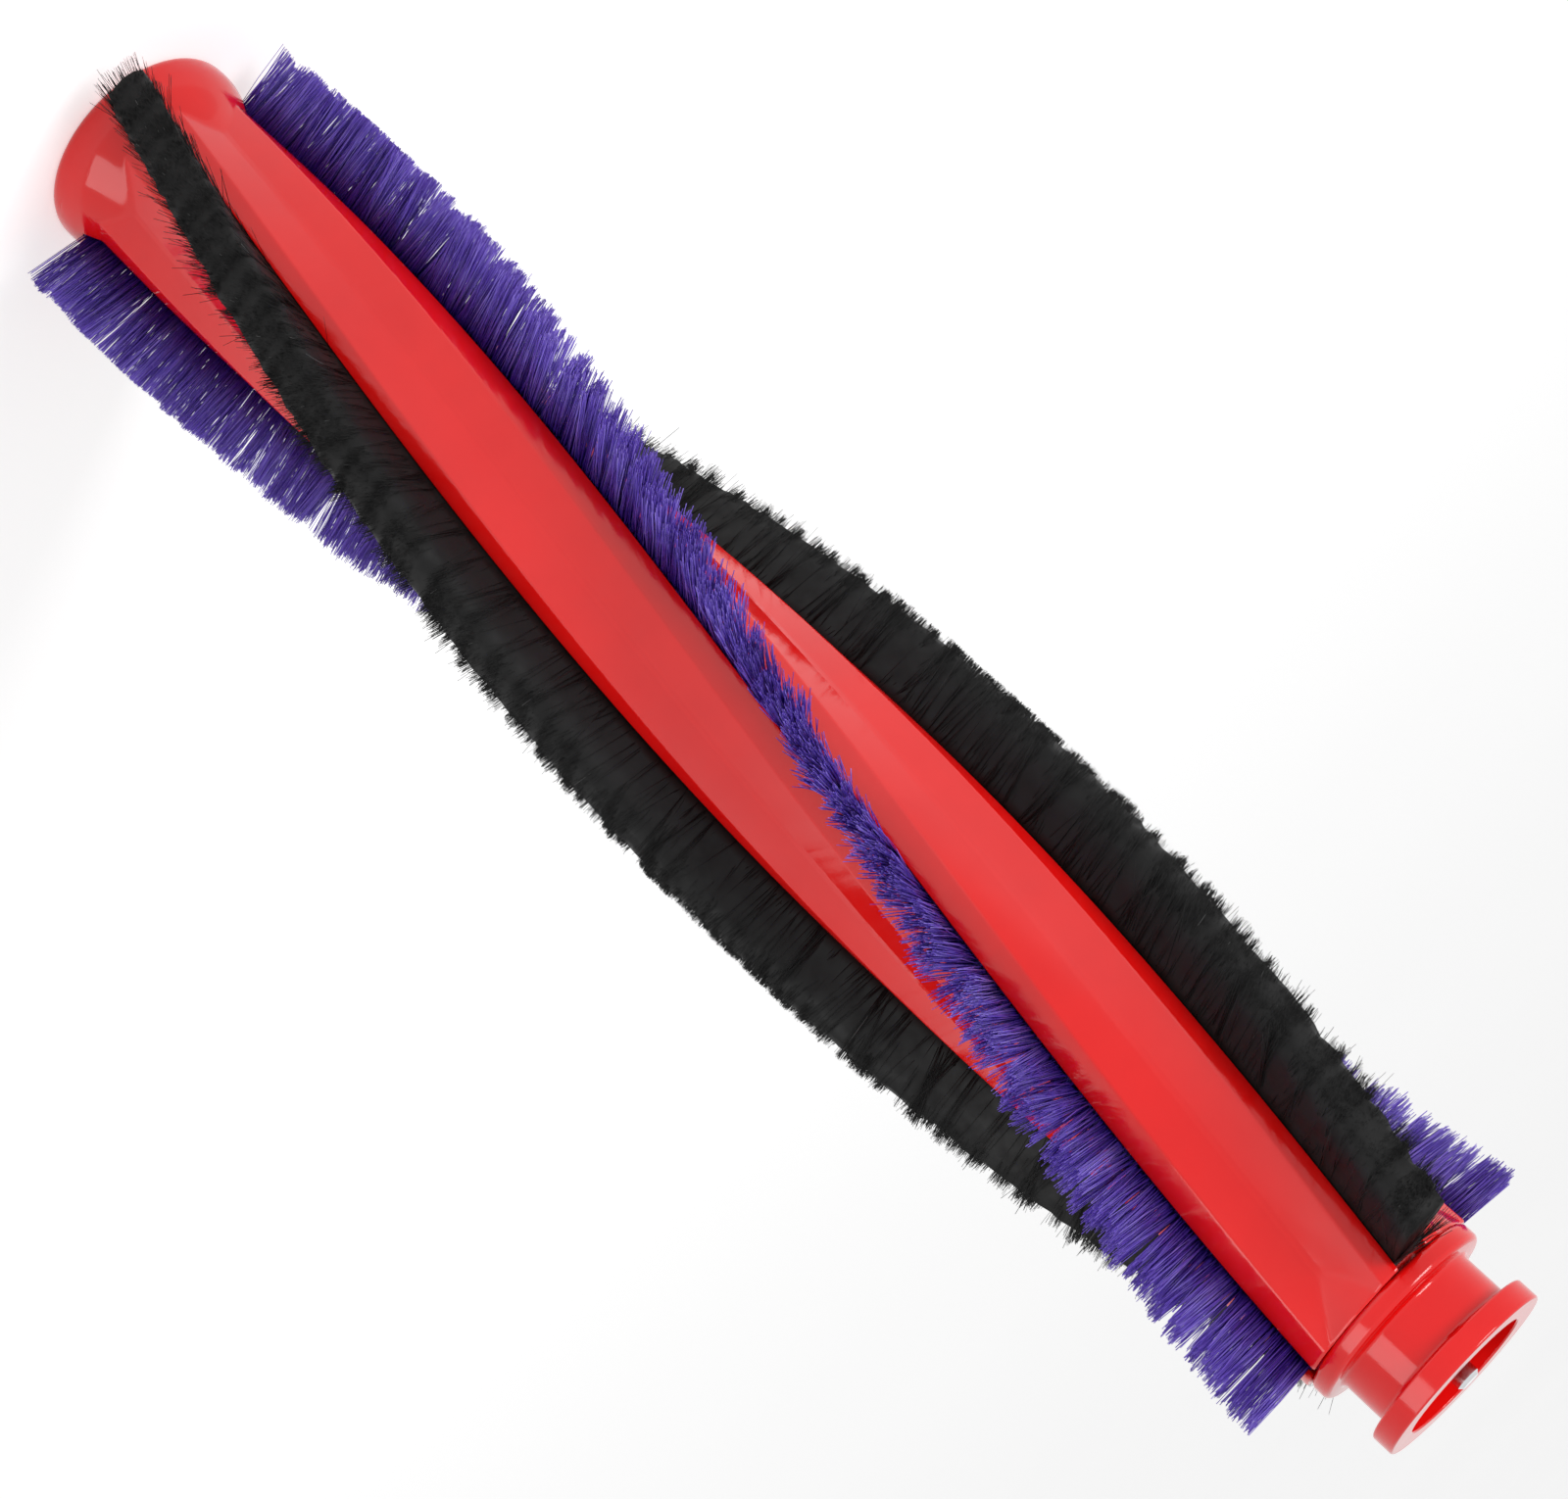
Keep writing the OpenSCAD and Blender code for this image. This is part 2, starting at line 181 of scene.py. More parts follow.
def nylon_fibre():
    """Translucent violet filament, with painted shade darkening it toward the root where the fibres crowd."""
    m, nt, p = new_material("violet_filament")
    co = object_coords(nt)
    tone = node(nt, "ShaderNodeAttribute", attribute_name="tone").outputs["Fac"]
    along = node(nt, "ShaderNodeAttribute", attribute_name="along").outputs["Fac"]
    streak = noise(nt, co, 900.0, 2.0)
    violets = [(0.0, (0.10, 0.035, 0.42)), (0.5, (0.24, 0.13, 0.72)), (1.0, (0.46, 0.34, 0.92))]
    light = ramp(nt, tone, violets)
    # Painted shade: the base and translucent colour go to a darker violet toward each fibre's root, where the
    # fibres crowd.
    root_shade_mix = node(nt, "ShaderNodeMix", data_type="RGBA", blend_type="MIX")
    nt.links.new(map_range(nt, along, 0.05, 0.45, 1.0, 0.0), root_shade_mix.inputs[0])
    nt.links.new(light, root_shade_mix.inputs[6])
    root_shade_mix.inputs[7].default_value = (0.05, 0.012, 0.40, 1.0)
    nt.links.new(root_shade_mix.outputs[2], p.inputs["Base Color"])
    p.inputs["IOR"].default_value = 1.53
    nt.links.new(map_range(nt, streak, 0.3, 0.7, 0.22, 0.38), p.inputs["Roughness"])
    trans = node(nt, "ShaderNodeBsdfTranslucent")
    nt.links.new(root_shade_mix.outputs[2], trans.inputs["Color"])
    mix = node(nt, "ShaderNodeMixShader", Fac=0.45)
    out = nt.nodes["Material Output"]
    nt.links.new(p.outputs["BSDF"], mix.inputs[1])
    nt.links.new(trans.outputs["BSDF"], mix.inputs[2])
    nt.links.new(mix.outputs["Shader"], out.inputs["Surface"])
    return m


def carbon_fibre():
    """Dull black pile with a slight sheen, and a few paler fibres that are painted glints."""
    m, nt, p = new_material("carbon_pile")
    co = object_coords(nt)
    tone = node(nt, "ShaderNodeAttribute", attribute_name="tone").outputs["Fac"]
    # Painted glint: the pale stop at tone 1 makes a few fibres look as if they caught the light.
    greys_and_painted_glints = [(place, (level, level, level)) for place, level in ((0.0, 0.0012), (0.9, 0.006), (1.0, 0.10))]
    nt.links.new(ramp(nt, tone, greys_and_painted_glints), p.inputs["Base Color"])
    nt.links.new(map_range(nt, noise(nt, co, 500.0, 2.0), 0.3, 0.7, 0.5, 0.7), p.inputs["Roughness"])
    p.inputs["Specular IOR Level"].default_value = 0.25
    return m


def metal(name, colour, rough, turned=0.0):
    m, nt, p = new_material(name)
    co = object_coords(nt)
    p.inputs["Metallic"].default_value = 1.0
    darker = [c * 0.88 for c in colour]
    nt.links.new(ramp(nt, noise(nt, co, 900.0, 3.0), [(0.3, darker), (0.7, colour)]), p.inputs["Base Color"])
    grain = noise(nt, co, 1500.0, 2.0)
    nt.links.new(map_range(nt, grain, 0.3, 0.7, rough * 0.8, rough * 1.25), p.inputs["Roughness"])
    if turned:
        stretch = node(nt, "ShaderNodeMapping", vector_type="POINT")
        stretch.inputs["Scale"].default_value = (0.05, 0.05, 1.0)
        nt.links.new(co, stretch.inputs["Vector"])
        grooves = noise(nt, stretch.outputs["Vector"], 9000.0, 2.0)
        nt.links.new(bump(nt, grooves, turned, 0.00001), p.inputs["Normal"])
    return m


def plain_plastic(name, colour, rough):
    m, nt, p = new_material(name)
    co = object_coords(nt)
    nt.links.new(ramp(nt, noise(nt, co, 150.0, 4.0), [(0.3, [c * 0.8 for c in colour]), (0.7, colour)]),
                 p.inputs["Base Color"])
    grain = noise(nt, co, 400.0, 3.0)
    nt.links.new(map_range(nt, grain, 0.3, 0.7, rough * 0.85, rough * 1.2), p.inputs["Roughness"])
    nt.links.new(bump(nt, noise(nt, co, 2500.0, 3.0), 0.15, 0.00002), p.inputs["Normal"])
    return m


RED = red_plastic()
NYLON = nylon_fibre()
CARBON = carbon_fibre()
STEEL = metal("bearing_steel", (0.62, 0.63, 0.65), 0.16)
PIN = metal("pin_steel", (0.70, 0.71, 0.73), 0.14, 0.25)
BRASS = metal("cage_brass", (0.62, 0.45, 0.20), 0.3)
BLACK = plain_plastic("black_socket", (0.014, 0.014, 0.015), 0.5)
BASE = plain_plastic("violet_base", (0.07, 0.03, 0.36), 0.42)


# core
def smooth_min(a, b, k):
    h = np.clip(0.5 + 0.5 * (b - a) / k, 0.0, 1.0)
    return b * (1 - h) + a * h - k * h * (1 - h)


def smooth_max(a, b, k):
    return -smooth_min(-a, -b, k)


EDGE_A = math.degrees(math.asin(RAIL_W / 2 / BODY_R))


def valley_line():
    """Normal direction and distance of the flat beside a rail."""
    edge = BODY_R * np.array([math.cos(math.radians(EDGE_A)), math.sin(math.radians(EDGE_A))])
    s = math.sqrt(0.5)
    floor = VALLEY_R * np.array([s, s]) + VALLEY_FLOOR_W / 2 * np.array([s, -s])
    d = edge - floor
    n = np.array([-d[1], d[0]]) / np.hypot(*d)
    return math.atan2(n[1], n[0]), float(edge @ n)


LINE_A, LINE_D = valley_line()


# Half angle from a strip beyond which the valley's flat floor is looked for
FLOOR_FROM_DEG = 43


def body_radius(deg):
    """Radius of rails and valleys at an angle within a sector, -45 to 45 degrees about a strip."""
    a = np.radians(np.abs(deg))
    flat = LINE_D / np.cos(a - LINE_A)
    floor = VALLEY_R / np.cos(a - math.pi / 4)
    valley = np.maximum(flat, np.where(a > math.radians(FLOOR_FROM_DEG), floor, 0.0))
    return smooth_min(np.full_like(a, BODY_R), valley, 0.11)


def bell_radius(z):
    """Outer radius of the bell alone at the height z."""
    if z < RIM_R:
        return BELL_R - RIM_R + math.sqrt(max(RIM_R ** 2 - (RIM_R - z) ** 2, 0.0))
    if z < BELL_LIP_H:
        return BELL_R
    if z > BELL_H:
        return 0.0
    t = (z - BELL_LIP_H) / (BELL_H - BELL_LIP_H)
    flare_r = VALLEY_R - FLARE_SINK
    return flare_r + (BELL_R - flare_r) * ((1 + math.cos(math.pi * t)) / 2) ** BELL_POWER


def collar_radius(z):
    """Radius of the flare that fills the valleys below the collar."""
    t = (z - (COLLAR_Z - RUNOUT_H)) / RUNOUT_H
    if t <= 0:
        return 0.0
    flare_r = VALLEY_R - FLARE_SINK
    return flare_r + (RUNOUT_R - flare_r) * t ** 2.2


def outer_radius(deg, z):
    if z < BELL_LIP_H:
        return np.full_like(deg, bell_radius(z))
    r = body_radius(deg)
    for flare in (bell_radius(z), collar_radius(z)):
        if flare > 0:
            r = smooth_max(r, np.full_like(r, flare), 0.12)
    if z > COLLAR_Z - 0.3:
        r = r - 0.14 * ((z - COLLAR_Z + 0.3) / 0.3) ** 2
    return r


def half_sector(z, kind, is_open):
    """Points of the outline from a strip's middle to the middle of the next valley, without the first one."""
    mouth_w, base_w = MOUTHS[kind]
    mouth, base = mouth_w / 2 + SLOT_GAP, base_w / 2 + SLOT_GAP
    lip = 0.13
    a_lip = math.degrees(math.asin((mouth + lip) / BODY_R))
    rail = a_lip + (EDGE_A - 1.7 - a_lip) * np.array([0.0, 0.2, 0.45, 0.72])
    edge = EDGE_A + np.array([-1.7, -0.9, -0.45, 0.0, 0.45, 0.9, 1.7])
    flat = np.array([25.5, 28.5, 31.5, 34.5, 37.5, 40.0, 41.8, 42.6, 43.2, 44.1, 45.0])
    deg = np.concatenate([rail, edge, flat])
    if z < BELL_LIP_H:
        deg = a_lip + (45.0 - a_lip) * (np.arange(len(deg)) / (len(deg) - 1))
    r = outer_radius(deg, z)
    surface = np.stack([r * np.cos(np.radians(deg)), r * np.sin(np.radians(deg))], 1)
    if is_open:
        top = math.sqrt(max(outer_radius(np.array([a_lip]), z)[0] ** 2 - mouth ** 2, 1.0))
        slot = np.array([[SLOT_FLOOR_R, base], [SLOT_TOP_R, base], [SLOT_TOP_R, mouth], [top - lip, mouth],
                         [top - lip * 0.3, mouth + lip * 0.3]])
    else:
        ds = a_lip * np.arange(1, 6) / 6.0
        rs = outer_radius(ds, z)
        slot = np.stack([rs * np.cos(np.radians(ds)), rs * np.sin(np.radians(ds))], 1)
    return np.concatenate([slot, surface])


def outline(z, is_open):
    """The whole outline at the height z, with the strips at 0, 90, 180 and 270 degrees."""
    pts = []
    for i in range(4):
        kind = i % 2
        half = half_sector(z, kind, is_open)
        x0 = SLOT_FLOOR_R if is_open else outer_radius(np.array([0.0]), z)[0]
        left = half[:-1][::-1] * np.array([1, -1])
        sector = np.concatenate([left, [[x0, 0.0]], half])
        a = math.radians(90 * i)
        c, s = math.cos(a), math.sin(a)
        pts.append(sector @ np.array([[c, s], [-s, c]]))
    return np.concatenate(pts)


def turned(pts, deg):
    a = math.radians(deg)
    c, s = math.cos(a), math.sin(a)
    return pts @ np.array([[c, s], [-s, c]])


def build_core():
    zs = [(z, False) for z in (0.0, 0.06, 0.2, 0.42, 0.72, 1.1, 1.6, 2.0, 2.39)]
    zs += [(z, False) for z in np.arange(2.45, STRIP_Z0, 0.35)]
    zs += [(STRIP_Z0, False), (STRIP_Z0, True)]
    step = 1.5
    fine = 0.4
    zs += [(z, True) for z in np.arange(STRIP_Z0 + fine, BELL_H + 1, fine)]
    zs += [(z, True) for z in np.arange(BELL_H + 2, COLLAR_Z - RUNOUT_H, step)]
    zs += [(z, True) for z in np.arange(COLLAR_Z - RUNOUT_H, COLLAR_Z - 0.3, fine)]
    zs += [(COLLAR_Z - 0.3, True), (COLLAR_Z - 0.15, True), (COLLAR_Z, True)]
    loops = []
    for z, is_open in reversed(zs):
        p = turned(outline(z, is_open), START + TURN * z)
        loops.append(np.column_stack([p, np.full(len(p), z)]))
    n = len(loops[0])
    # inside: from the rim up the mouth and the bores, with the same number of points on circles
    rim = loops[-1]
    ang = np.unwrap(np.arctan2(rim[:, 1], rim[:, 0]))
    ang = ang[0] + 2 * math.pi * np.arange(n) / n
    def circle(r, z):
        return np.column_stack([r * np.cos(ang), r * np.sin(ang), np.full(n, z)])

    inside = ((MOUTH_R + 0.25, 0.0), (MOUTH_R + 0.07, 0.06), (MOUTH_R - 0.1, 0.25),
              (BORE_R + 0.1, MOUTH_H - 0.2), (BORE_R, MOUTH_H), (BORE_R, 50.0), (BORE_R, 100.0),
              (BORE_R, SOCKET_Z), (TAIL_BORE_R, SOCKET_Z), (TAIL_BORE_R, COLLAR_Z))
    for r, z in inside:
        loops.append(circle(r, z))
    verts = np.concatenate(loops)
    faces = []
    for k in range(len(loops) - 1):
        a, b = k * n, (k + 1) * n
        for j in range(n):
            q = (j + 1) % n
            faces.append((a + j, b + j, b + q, a + q))
    obj = mesh_object("core_tube", verts, faces, RED)
    bm = bmesh.new()
    bm.from_mesh(obj.data)
    bmesh.ops.remove_doubles(bm, verts=bm.verts, dist=1e-7)
    bmesh.ops.dissolve_degenerate(bm, dist=1e-7, edges=bm.edges)
    rim_edges = [e for e in bm.edges if e.is_boundary]
    bmesh.ops.triangle_fill(bm, edges=rim_edges, use_beauty=True)
    bmesh.ops.recalc_face_normals(bm, faces=bm.faces)
    bm.to_mesh(obj.data)
    bm.free()
    obj.data.polygons.foreach_set("use_smooth", [True] * len(obj.data.polygons))
    sharpen(obj, 38)
    return obj


# turned pieces
def rounded(points, arc_steps=6):
    """A closed outline of (radius, height, rounding) as points, each corner rounded as asked."""
    out = []
    n = len(points)
    for i, (x, y, r) in enumerate(points):
        p = np.array([x, y], float)
        if not r:
            out.append(p)
            continue
        a = np.array(points[i - 1][:2], float) - p
        b = np.array(points[(i + 1) % n][:2], float) - p
        a /= np.hypot(*a)
        b /= np.hypot(*b)
        half = math.acos(np.clip(a @ b, -1, 1)) / 2
        d = r / math.tan(half)
        centre = p + (a + b) / np.hypot(*(a + b)) * (r / math.sin(half))
        start, end = p + a * d - centre, p + b * d - centre
        a0, a1 = math.atan2(start[1], start[0]), math.atan2(end[1], end[0])
        while a1 - a0 > math.pi:
            a1 -= 2 * math.pi
        while a1 - a0 < -math.pi:
            a1 += 2 * math.pi
        for t in np.linspace(0, 1, arc_steps + 1):
            u = a0 + (a1 - a0) * t
            out.append(centre + r * np.array([math.cos(u), math.sin(u)]))
    return np.array(out)


def lathe(name, outline_pts, material, segments=192, sharp=35):
    n = len(outline_pts)
    seg = segments
    ang = 2 * math.pi * np.arange(seg) / seg
    r, z = outline_pts[:, 0], outline_pts[:, 1]
    verts = np.stack([np.outer(np.cos(ang), r), np.outer(np.sin(ang), r), np.tile(z, (seg, 1))], -1)
    verts = verts.reshape(-1, 3)
    faces = []
    for k in range(seg):
        a, b = k * n, ((k + 1) % seg) * n
        for j in range(n):
            q = (j + 1) % n
            faces.append((a + j, b + j, b + q, a + q))
    obj = mesh_object(name, verts, faces, material)
    sharpen(obj, sharp)
    return obj


def build_spool():
    pts = [
        (6.5, 203.7, 0.2), (8.5, 203.7, 0.3), (8.5, 213.7, 0), (12.0, 213.7, 0.7),
        (12.0, 216.2, 0.7), (9.5, 216.2, 0.6), (9.5, 222.2, 0.6), (11.55, 222.2, 0.3),
        (11.55, 225.0, 0.28), (8.2, 225.0, 0.22), (8.2, 220.2, 0.4), (4.0, 220.2, 0.15),
        (4.0, 216.2, 0), (2.4, 216.2, 0.1), (2.4, 214.6, 0), (6.5, 214.6, 0.3),
    ]
    return lathe("spool_end", rounded(pts), RED)


# fibres
def fibre_mesh(name, root, tip, radius, taper, sag, tone, segs, material, rng, extra=None):
    """Three-sided closed fibres from root to tip, points in mm, each bent at its middle by its own sag."""
    n = len(root)
    axis = tip - root
    length = np.linalg.norm(axis, axis=1)[:, None]
    d = axis / length
    side = np.cross(d, rng.normal(size=(n, 3)))
    side /= np.linalg.norm(side, axis=1)[:, None]
    other = np.cross(d, side)
    verts = np.empty((n, segs + 1, 3, 3))
    ts = np.linspace(0, 1, segs + 1)
    for k, t in enumerate(ts):
        mid = root + axis * t + sag * (4 * t * (1 - t))
        w = radius[:, None] * (1 - (1 - taper) * t)
        for j in range(3):
            a = 2 * math.pi * j / 3
            verts[:, k, j] = mid + w * (math.cos(a) * side + math.sin(a) * other)
    base = (np.arange(n) * (segs + 1) * 3)[:, None]
    quads = []
    for k in range(segs):
        for j in range(3):
            q = (j + 1) % 3
            quads.append([k * 3 + j, k * 3 + q, (k + 1) * 3 + q, (k + 1) * 3 + j])
    quads = np.array(quads)
    caps = np.array([[2, 1, 0], [segs * 3, segs * 3 + 1, segs * 3 + 2]])
    quads = (base[:, :, None] + quads[None]).reshape(-1, 4)
    caps = (base[:, :, None] + caps[None]).reshape(-1, 3)
    co = verts.reshape(-1, 3)
    tones = np.repeat(tone, (segs + 1) * 3)
    along = np.tile(np.repeat(ts, 3), n)
    loops = np.concatenate([quads.ravel(), caps.ravel()])
    starts = np.concatenate([np.arange(len(quads)) * 4, len(quads) * 4 + np.arange(len(caps)) * 3])
    totals = np.concatenate([np.full(len(quads), 4), np.full(len(caps), 3)])
    if extra is not None:
        eco, eloops, etotals = extra
        loops = np.concatenate([loops, eloops + len(co)])
        estarts = np.concatenate([[0], np.cumsum(etotals)[:-1]])
        starts = np.concatenate([starts, starts[-1] + 3 + estarts])
        totals = np.concatenate([totals, etotals])
        co = np.concatenate([co, eco])
        tones = np.concatenate([tones, np.zeros(len(eco))])
        along = np.concatenate([along, np.zeros(len(eco))])
    me = bpy.data.meshes.new(name)
    me.vertices.add(len(co))
    me.vertices.foreach_set("co", (co * MM).ravel())
    me.loops.add(len(loops))
    me.loops.foreach_set("vertex_index", loops.astype(np.int32))
    me.polygons.add(len(starts))
    me.polygons.foreach_set("loop_start", starts.astype(np.int32))
    me.polygons.foreach_set("loop_total", totals.astype(np.int32))
    me.polygons.foreach_set("use_smooth", np.ones(len(starts), bool))
    for key, val in (("tone", tones), ("along", along)):
        me.attributes.new(key, "FLOAT", "POINT").data.foreach_set("value", val.astype(np.float32))
    me.materials.append(material)
    me.update()
    me.validate()
    return link(bpy.data.objects.new(name, me))


def frame_at(z, start):
    """Radial and sideways directions of a strip at the heights z."""
    a = np.radians(start + TURN * z)
    er = np.stack([np.cos(a), np.sin(a), np.zeros_like(a)], 1)
    et = np.stack([-np.sin(a), np.cos(a), np.zeros_like(a)], 1)
    return er, et


EZ = np.array([0.0, 0.0, 1.0])


def clump_field(rng, z, pitch, amount):
    """A value per fibre that is shared by the fibres of one clump, with clumps of uneven width."""
    edges = np.cumsum(rng.uniform(0.5, 1.5, int(260 / pitch)) * pitch) - 10
    idx = np.searchsorted(edges, z)
    vals = rng.normal(0, amount, len(edges) + 2)
    last = edges[-1]
    between = (edges[1:] + edges[:-1]) / 2
    mids = np.concatenate([[edges[0] - pitch], between, [last + pitch, last + 2 * pitch]])
    return vals[idx], mids[np.clip(idx, 0, len(mids) - 1)]


def nylon_strip(name, start, seed):
    rng = np.random.default_rng(seed)
    n = 9000
    z = rng.uniform(STRIP_Z0 + 0.2, STRIP_Z1, n)
    v = rng.uniform(-1, 1, n)
    er, et = frame_at(z, start)
    lean, mid = clump_field(rng, z, 2.6, 0.05)
    lean2, _ = clump_field(rng, z, 1.1, 0.035)
    pull = np.clip((mid - z), -2, 2) * 0.22
    tip_r = TIP_R - 0.1 - np.abs(rng.normal(0, 0.35, n)) - clump_field(rng, z, 2.6, 0.3)[0].clip(0, 1)
    length = tip_r - ROOT_R
    side = v * 1.15 + rng.normal(0, 0.45, n) + clump_field(rng, z, 2.0, 0.35)[0]
    axial = pull + (lean + lean2) * length + rng.normal(0, 0.22, n)
    u = (z - STRIP_Z0) / (STRIP_Z1 - STRIP_Z0)
    axial += 0.8 * (2 * u - 1) * np.abs(2 * u - 1) ** 6
    root = er * ROOT_R + et * (v * 0.92)[:, None] + EZ * z[:, None]
    out = np.sqrt(np.maximum(tip_r ** 2 - (v + side) ** 2, 1))
    tip = er * out[:, None] + et * (v * 0.92 + side)[:, None] + EZ * (z + axial)[:, None]
    sag = et * rng.normal(0, 0.12, n)[:, None] + EZ * rng.normal(0, 0.12, n)[:, None]
    radius = rng.uniform(0.055, 0.085, n)
    tone = np.clip(rng.beta(2.2, 2.2, n) + clump_field(rng, z, 1.7, 0.12)[0], 0, 1)
    return fibre_mesh(name, root, tip, radius, 0.75, sag, tone, 2, NYLON, rng)


def carbon_core(start, rng):
    """The dense inside of the pile, a little smaller than the fibres' reach."""
    steps = 160
    flank = [(13.6, 2.15), (16.0, 2.6), (18.5, 2.9), (20.6, 2.7), (21.3, 1.4)]
    other_flank = [(r, -w) for r, w in reversed(flank)]
    outline_pts = [(ROOT_R, -2.05), (ROOT_R, 2.05), *flank, (21.45, 0.0), *other_flank]
    m = len(outline_pts)
    co = []
    for k in range(steps + 1):
        u = k / steps
        for r, w in outline_pts:
            f = (r - ROOT_R) / (TIP_R - ROOT_R)
            z = STRIP_Z0 + 0.4 + (STRIP_Z1 - STRIP_Z0 - 0.6) * u + 0.3 * (2 * u - 1) * f
            j = 1 + rng.normal(0, 0.06) * f
            a = math.radians(start + TURN * z)
            rr = ROOT_R + (r - ROOT_R) * (1 + rng.normal(0, 0.012))
            co.append((rr * math.cos(a) - w * j * math.sin(a), rr * math.sin(a) + w * j * math.cos(a), z))
    loops, totals = [], []
    for k in range(steps):
        for j in range(m):
            a, b = k * m + j, k * m + (j + 1) % m
            loops += [a, b, b + m, a + m]
            totals.append(4)
    loops += list(range(m))[::-1]
    totals.append(m)
    loops += [steps * m + j for j in range(m)]
    totals.append(m)
    return np.array(co), np.array(loops), np.array(totals)


def carbon_strip(name, start, seed):
    rng = np.random.default_rng(seed)
    n = 20000
    z = rng.uniform(STRIP_Z0 + 0.25, STRIP_Z1, n)
    v = rng.uniform(-1, 1, n)
    er, et = frame_at(z, start)
    lean, mid = clump_field(rng, z, 1.5, 0.07)
    lean2, _ = clump_field(rng, z, 0.7, 0.05)
    pull = np.clip((mid - z), -1.5, 1.5) * 0.35
    tip_r = TIP_R - 0.05 - np.abs(rng.normal(0, 0.3, n)) - np.abs(clump_field(rng, z, 1.2, 0.22)[0])
    length = tip_r - ROOT_R
    side = v * 1.25 + rng.normal(0, 0.5, n) + clump_field(rng, z, 1.3, 0.3)[0]
    wild = rng.random(n) < 0.10
    side = np.where(wild, side + rng.normal(0, 1.6, n), side)
    axial = pull + (lean + lean2) * length + rng.normal(0, 0.3, n)
    u = (z - STRIP_Z0) / (STRIP_Z1 - STRIP_Z0)
    axial += 0.8 * (2 * u - 1) * np.abs(2 * u - 1) ** 6
    axial = np.where(wild, axial + rng.normal(0, 0.9, n), axial)
    lateral = v * 2.0 + side
    root = er * ROOT_R + et * (v * 2.0)[:, None] + EZ * z[:, None]
    tip = er * np.sqrt(np.maximum(tip_r ** 2 - lateral ** 2, 1))[:, None] + et * lateral[:, None] \
        + EZ * (z + axial)[:, None]
    sag = et * rng.normal(0, 0.15, n)[:, None]
    radius = rng.uniform(0.045, 0.08, n)
    tone = rng.random(n) * 0.9
    # Painted glint: a few fibres get tone 1, the pale grey that stands for light caught on glossy fibres.
    tone = np.where(rng.random(n) < 0.003, 1.0, tone)
    return fibre_mesh(name, root, tip, radius, 0.45, sag, tone, 1, CARBON, rng, carbon_core(start, rng))


core = build_core()
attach(core, "roller")
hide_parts("roller_core")

spool = build_spool()
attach(spool, "roller")
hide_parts("end_cap")

for i, label in enumerate(("1", "2")):
    strip = nylon_strip(f"nylon_fibres_{label}", START + 180 * i, 11 + i)
    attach(strip, "roller")
    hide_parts(f"nylon_bristles_{label}")
    strip = carbon_strip(f"carbon_fibres_{label}", START + 90 + 180 * i, 21 + i)
    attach(strip, "roller")
    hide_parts(f"carbon_bristles_{label}")

CAD_MATERIALS = {
    "drive_socket": BLACK, "nylon_backing_1": BASE, "nylon_backing_2": BASE,
    "carbon_backing_1": BLACK, "carbon_backing_2": BLACK,
    "bearing_outer_ring": STEEL, "bearing_inner_ring": STEEL, "bearing_balls": STEEL,
    "bearing_cage": BRASS, "bearing_shield_inner": STEEL, "bearing_shield_outer": STEEL,
    "axle_pin": PIN, "pin_shim": PIN, "pin_clip": PIN,
}
for name, material in CAD_MATERIALS.items():
    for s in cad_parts[name].material_slots:
        s.material = material

# camera
FOCAL_PX = 3720.0
PITCH = math.radians(19.55)
ROLL = math.radians(42.86)
cam_data = bpy.data.cameras.new("camera")
cam_data.sensor_fit = "HORIZONTAL"
cam_data.sensor_width = 36.0
cam_data.lens = FOCAL_PX / 1600.0 * 36.0
cam_data.clip_start = 0.01
cam_data.clip_end = 60.0
camera = link(bpy.data.objects.new("camera", cam_data))
look = Vector((0.0, math.cos(PITCH), -math.sin(PITCH)))
level_up = Vector((0.0, math.sin(PITCH), math.cos(PITCH)))
level_right = Vector((1.0, 0.0, 0.0))
c, s = math.cos(ROLL), math.sin(ROLL)
right = c * level_up - s * level_right
up = -s * level_up - c * level_right
basis = Matrix((right, up, -look)).transposed().to_4x4()
camera.matrix_world = Matrix.Translation((0.0004, -0.401, 0.2622)) @ basis
bpy.context.scene.camera = camera

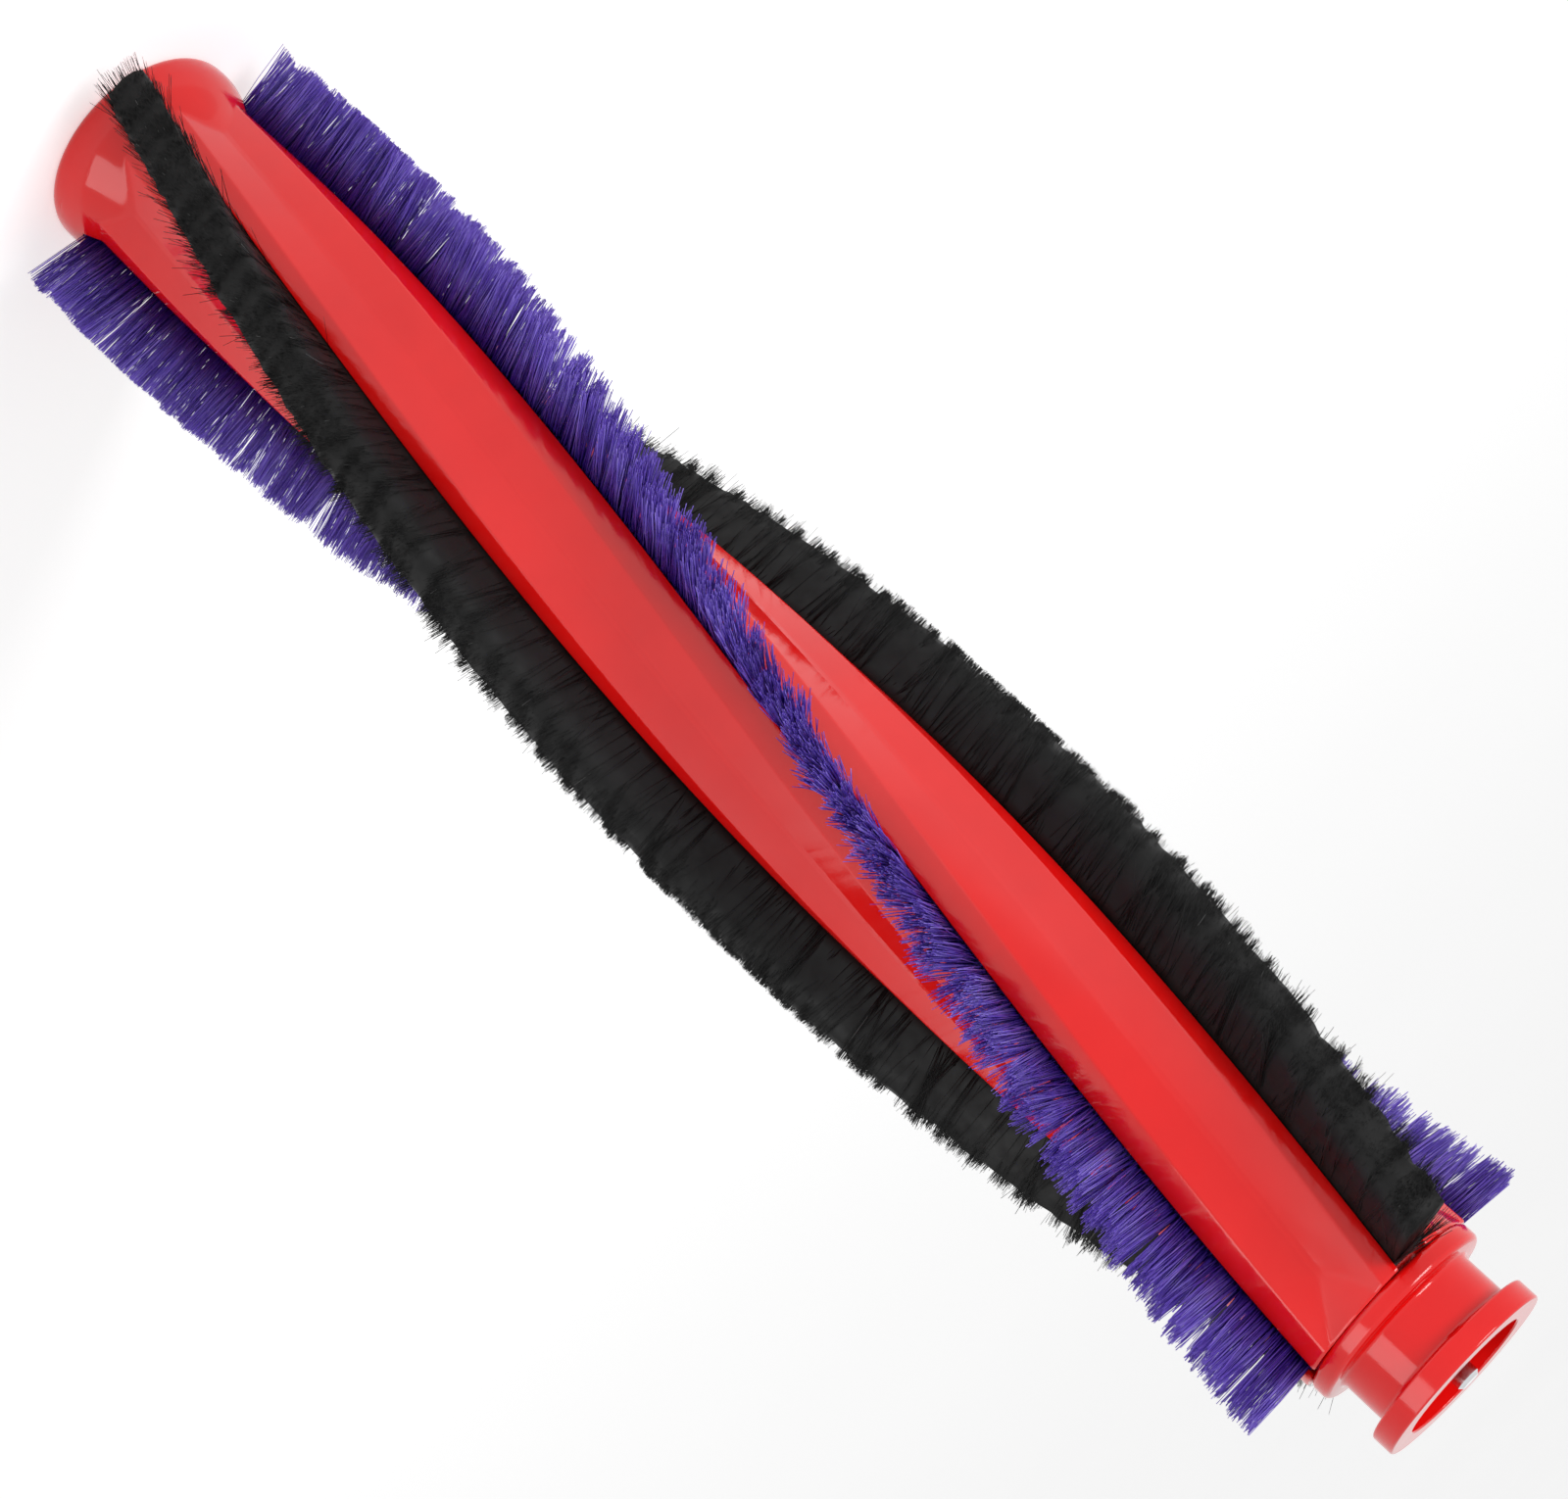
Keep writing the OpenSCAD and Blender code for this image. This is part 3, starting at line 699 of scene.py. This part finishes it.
# floor, world and lights
def floor_material():
    m, nt, p = new_material("floor_white")
    co = object_coords(nt)
    whites = [(0.3, (0.86, 0.86, 0.86)), (0.7, (0.88, 0.88, 0.88))]
    nt.links.new(ramp(nt, noise(nt, co, 3.0, 2.0), whites), p.inputs["Base Color"])
    p.inputs["Roughness"].default_value = 0.9
    p.inputs["Specular IOR Level"].default_value = 0.1
    path = node(nt, "ShaderNodeLightPath")
    seen = node(nt, "ShaderNodeMath", operation="MAXIMUM")
    nt.links.new(path.outputs["Is Camera Ray"], seen.inputs[0])
    nt.links.new(path.outputs["Is Glossy Ray"], seen.inputs[1])
    seen2 = node(nt, "ShaderNodeMath", operation="MAXIMUM")
    nt.links.new(seen.outputs[0], seen2.inputs[0])
    nt.links.new(path.outputs["Is Transmission Ray"], seen2.inputs[1])
    glow = node(nt, "ShaderNodeEmission", Color=(1, 1, 1, 1), Strength=0.45)
    add = node(nt, "ShaderNodeAddShader")
    nt.links.new(p.outputs["BSDF"], add.inputs[0])
    nt.links.new(glow.outputs["Emission"], add.inputs[1])
    mix = node(nt, "ShaderNodeMixShader")
    nt.links.new(seen2.outputs[0], mix.inputs[0])
    nt.links.new(p.outputs["BSDF"], mix.inputs[1])
    nt.links.new(add.outputs["Shader"], mix.inputs[2])
    nt.links.new(mix.outputs["Shader"], nt.nodes["Material Output"].inputs["Surface"])
    return m


me = bpy.data.meshes.new("floor")
HALF_FLOOR = 15.0
corners = [(x * HALF_FLOOR, y * HALF_FLOOR, 0) for x, y in ((-1, -1), (1, -1), (1, 1), (-1, 1))]
me.from_pydata(corners, [], [(0, 1, 2, 3)])
me.materials.append(floor_material())
floor = link(bpy.data.objects.new("floor", me))

world = bpy.data.worlds.new("studio")
bpy.context.scene.world = world
world.use_nodes = True
nt = world.node_tree
bg = nt.nodes["Background"]
bg.inputs["Color"].default_value = (1, 1, 1, 1)
path = node(nt, "ShaderNodeLightPath")
seen = node(nt, "ShaderNodeMath", operation="MAXIMUM")
nt.links.new(path.outputs["Is Camera Ray"], seen.inputs[0])
nt.links.new(path.outputs["Is Glossy Ray"], seen.inputs[1])
seen2 = node(nt, "ShaderNodeMath", operation="MAXIMUM")
nt.links.new(seen.outputs[0], seen2.inputs[0])
nt.links.new(path.outputs["Is Transmission Ray"], seen2.inputs[1])
nt.links.new(map_range(nt, seen2.outputs[0], 0.0, 1.0, 0.5, 1.0), bg.inputs["Strength"])


def area_light(name, place, target, size, power):
    data = bpy.data.lights.new(name, "AREA")
    data.shape = "RECTANGLE"
    data.size, data.size_y = size
    data.energy = power
    obj = link(bpy.data.objects.new(name, data))
    place, target = Vector(place), Vector(target)
    obj.location = place
    obj.rotation_mode = "QUATERNION"
    obj.rotation_quaternion = (target - place).to_track_quat("-Z", "Y")
    return obj


CENTRE = (0.0, 0.0, 0.11)
area_light("key", (-0.55, -0.45, 0.55), CENTRE, (0.35, 0.35), 4.0)
area_light("fill", (0.6, -0.5, 0.3), CENTRE, (0.5, 0.5), 2.0)

bpy.context.scene.view_settings.view_transform = "Standard"
